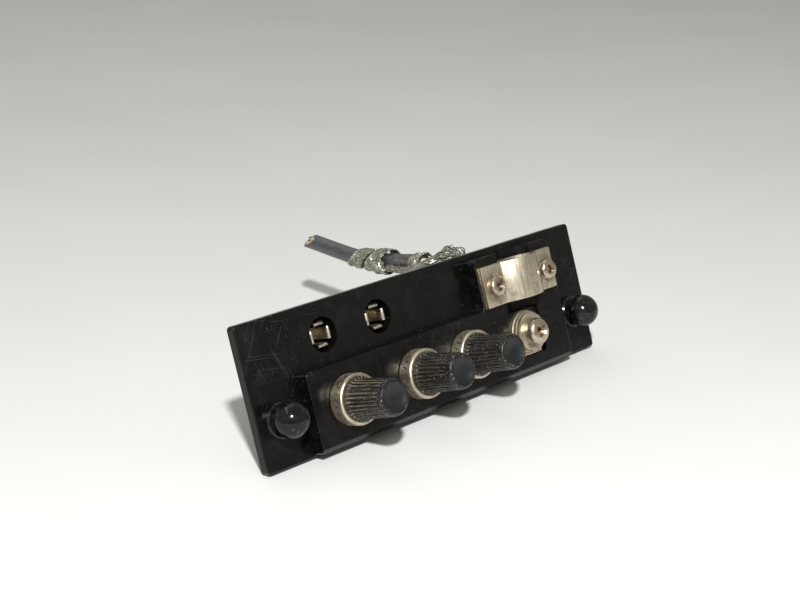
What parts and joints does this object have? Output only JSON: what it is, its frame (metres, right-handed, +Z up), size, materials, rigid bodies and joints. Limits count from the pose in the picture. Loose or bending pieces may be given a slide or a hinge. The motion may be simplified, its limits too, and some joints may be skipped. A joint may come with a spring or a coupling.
{
  "type": "aerial terminal panel",
  "caption": "Moulded aerial terminal panel with knurled binding posts, sprung pin sockets, a coax saddle clamp, an earth screw, snap rivets and a stub of coax at the back.",
  "frame": {"origin": "centre of the flange's flat back face, which seats on the chassis", "axes": "+X along the panel to the clamp end, -Y out of the front, +Y into the chassis, +Z up"},
  "size_m": [0.118, 0.0894, 0.0469],
  "materials": {
    "phenolic_panel": "compression-moulded black phenolic, glossy, finely scratched",
    "phenolic_cap": "moulded black phenolic, knurled, dusty in the grooves",
    "nylon_black": "moulded black nylon, polished dome",
    "nickel_collar": "nickel-plated brass, tarnished",
    "nickel_plate": "nickel-plated pressed steel, tarnished",
    "nickel_screw": "bright nickel-plated steel, rust in the recess",
    "zinc_steel": "bright zinc-plated steel",
    "brass_turned": "turned brass, dull",
    "tinned_lug": "hot-tinned brass, grey",
    "silver_contact": "silver-plated phosphor bronze, warm tarnish",
    "pvc_jacket": "extruded black PVC, satin, dusty",
    "tinned_braid": "tinned copper braid, oxidised grey-green",
    "polythene": "natural polythene, yellowed",
    "copper_wire": "drawn copper"
  },
  "bodies": {
    "panel": {"panel_moulding": "phenolic_panel", "post_left_collar": "nickel_collar", "post_left_stud": "brass_turned", "post_left_lug": "tinned_lug", "post_left_lock_washer": "zinc_steel", "post_left_nut": "zinc_steel", "post_middle_collar": "nickel_collar", "post_middle_stud": "brass_turned", "post_middle_lug": "tinned_lug", "post_middle_lock_washer": "zinc_steel", "post_middle_nut": "zinc_steel", "post_right_collar": "nickel_collar", "post_right_stud": "brass_turned", "post_right_lug": "tinned_lug", "post_right_lock_washer": "zinc_steel", "post_right_nut": "zinc_steel", "socket_left_contact": "silver_contact", "socket_right_contact": "silver_contact", "clamp_base_strip": "nickel_plate", "clamp_bush_left": "brass_turned", "clamp_bush_right": "brass_turned", "clamp_lug": "tinned_lug", "terminal_plate": "nickel_plate", "terminal_bush": "brass_turned", "terminal_lug": "tinned_lug", "rivet_left_grommet": "nylon_black", "rivet_right_grommet": "nylon_black", "cable_jacket": "pvc_jacket", "cable_shield": "tinned_braid", "cable_dielectric": "polythene", "cable_conductor": "copper_wire", "braid_wrap_main": "tinned_braid", "braid_wrap_small": "tinned_braid", "core_lead": "polythene", "braid_pigtail": "tinned_braid"},
    "post_left_washer": {"post_left_clamp_washer": "nickel_plate"},
    "post_left_cap": {"post_left_cap": "phenolic_cap", "post_left_insert": "brass_turned"},
    "post_middle_washer": {"post_middle_clamp_washer": "nickel_plate"},
    "post_middle_cap": {"post_middle_cap": "phenolic_cap", "post_middle_insert": "brass_turned"},
    "post_right_washer": {"post_right_clamp_washer": "nickel_plate"},
    "post_right_cap": {"post_right_cap": "phenolic_cap", "post_right_insert": "brass_turned"},
    "saddle": {"clamp_saddle": "nickel_plate"},
    "saddle_screw_left": {"clamp_screw_left": "nickel_screw"},
    "saddle_screw_right": {"clamp_screw_right": "nickel_screw"},
    "terminal_washers": {"terminal_cup_washer": "nickel_collar", "terminal_flat_washer": "nickel_collar", "terminal_spring_washer": "zinc_steel"},
    "terminal_screw": {"terminal_screw": "nickel_screw"},
    "rivet_left": {"rivet_left_plunger": "nylon_black"},
    "rivet_right": {"rivet_right_plunger": "nylon_black"}
  },
  "joints": [
    {"name": "post_left_lift", "type": "slide", "parent": "panel", "child": "post_left_washer", "axis": [0, -1, 0], "range_m": [0, 0.0035]},
    {"name": "post_left_turn", "type": "hinge", "parent": "post_left_washer", "child": "post_left_cap", "pos_m": [-0.0342, -0.0107, -0.0067], "axis": [0, -1, 0], "range_deg": [0, 1800]},
    {"name": "post_middle_lift", "type": "slide", "parent": "panel", "child": "post_middle_washer", "axis": [0, -1, 0], "range_m": [0, 0.0035]},
    {"name": "post_middle_turn", "type": "hinge", "parent": "post_middle_washer", "child": "post_middle_cap", "pos_m": [-0.0116, -0.0107, -0.0067], "axis": [0, -1, 0], "range_deg": [0, 1800]},
    {"name": "post_right_lift", "type": "slide", "parent": "panel", "child": "post_right_washer", "axis": [0, -1, 0], "range_m": [0, 0.0035]},
    {"name": "post_right_turn", "type": "hinge", "parent": "post_right_washer", "child": "post_right_cap", "pos_m": [0.0066, -0.0107, -0.0067], "axis": [0, -1, 0], "range_deg": [0, 1800]},
    {"name": "saddle_lift", "type": "slide", "parent": "panel", "child": "saddle", "axis": [0, -1, 0], "range_m": [0, 0.003]},
    {"name": "saddle_screw_left_turn", "type": "hinge", "parent": "saddle", "child": "saddle_screw_left", "pos_m": [0.0202, -0.0082, 0.0079], "axis": [0, -1, 0], "range_deg": [0, 2160]},
    {"name": "saddle_screw_right_turn", "type": "hinge", "parent": "saddle", "child": "saddle_screw_right", "pos_m": [0.0403, -0.0082, 0.0079], "axis": [0, -1, 0], "range_deg": [0, 2160]},
    {"name": "terminal_lift", "type": "slide", "parent": "panel", "child": "terminal_washers", "axis": [0, -1, 0], "range_m": [0, 0.0028]},
    {"name": "terminal_turn", "type": "hinge", "parent": "terminal_washers", "child": "terminal_screw", "pos_m": [0.0292, -0.0099, -0.0065], "axis": [0, -1, 0], "range_deg": [0, 1440]},
    {"name": "rivet_left_push", "type": "slide", "parent": "panel", "child": "rivet_left", "axis": [0, 1, 0], "range_m": [0, 0.0025]},
    {"name": "rivet_right_push", "type": "slide", "parent": "panel", "child": "rivet_right", "axis": [0, 1, 0], "range_m": [0, 0.0025]}
  ],
  "couplings": [
    {"joint": "post_left_turn", "follows": "post_left_lift", "rad_per_m": 8976},
    {"joint": "post_middle_turn", "follows": "post_middle_lift", "rad_per_m": 8976},
    {"joint": "post_right_turn", "follows": "post_right_lift", "rad_per_m": 8976},
    {"joint": "saddle_screw_left_turn", "follows": "saddle_lift", "rad_per_m": 12566},
    {"joint": "saddle_screw_right_turn", "follows": "saddle_lift", "rad_per_m": 12566},
    {"joint": "terminal_turn", "follows": "terminal_lift", "rad_per_m": 8976}
  ]
}
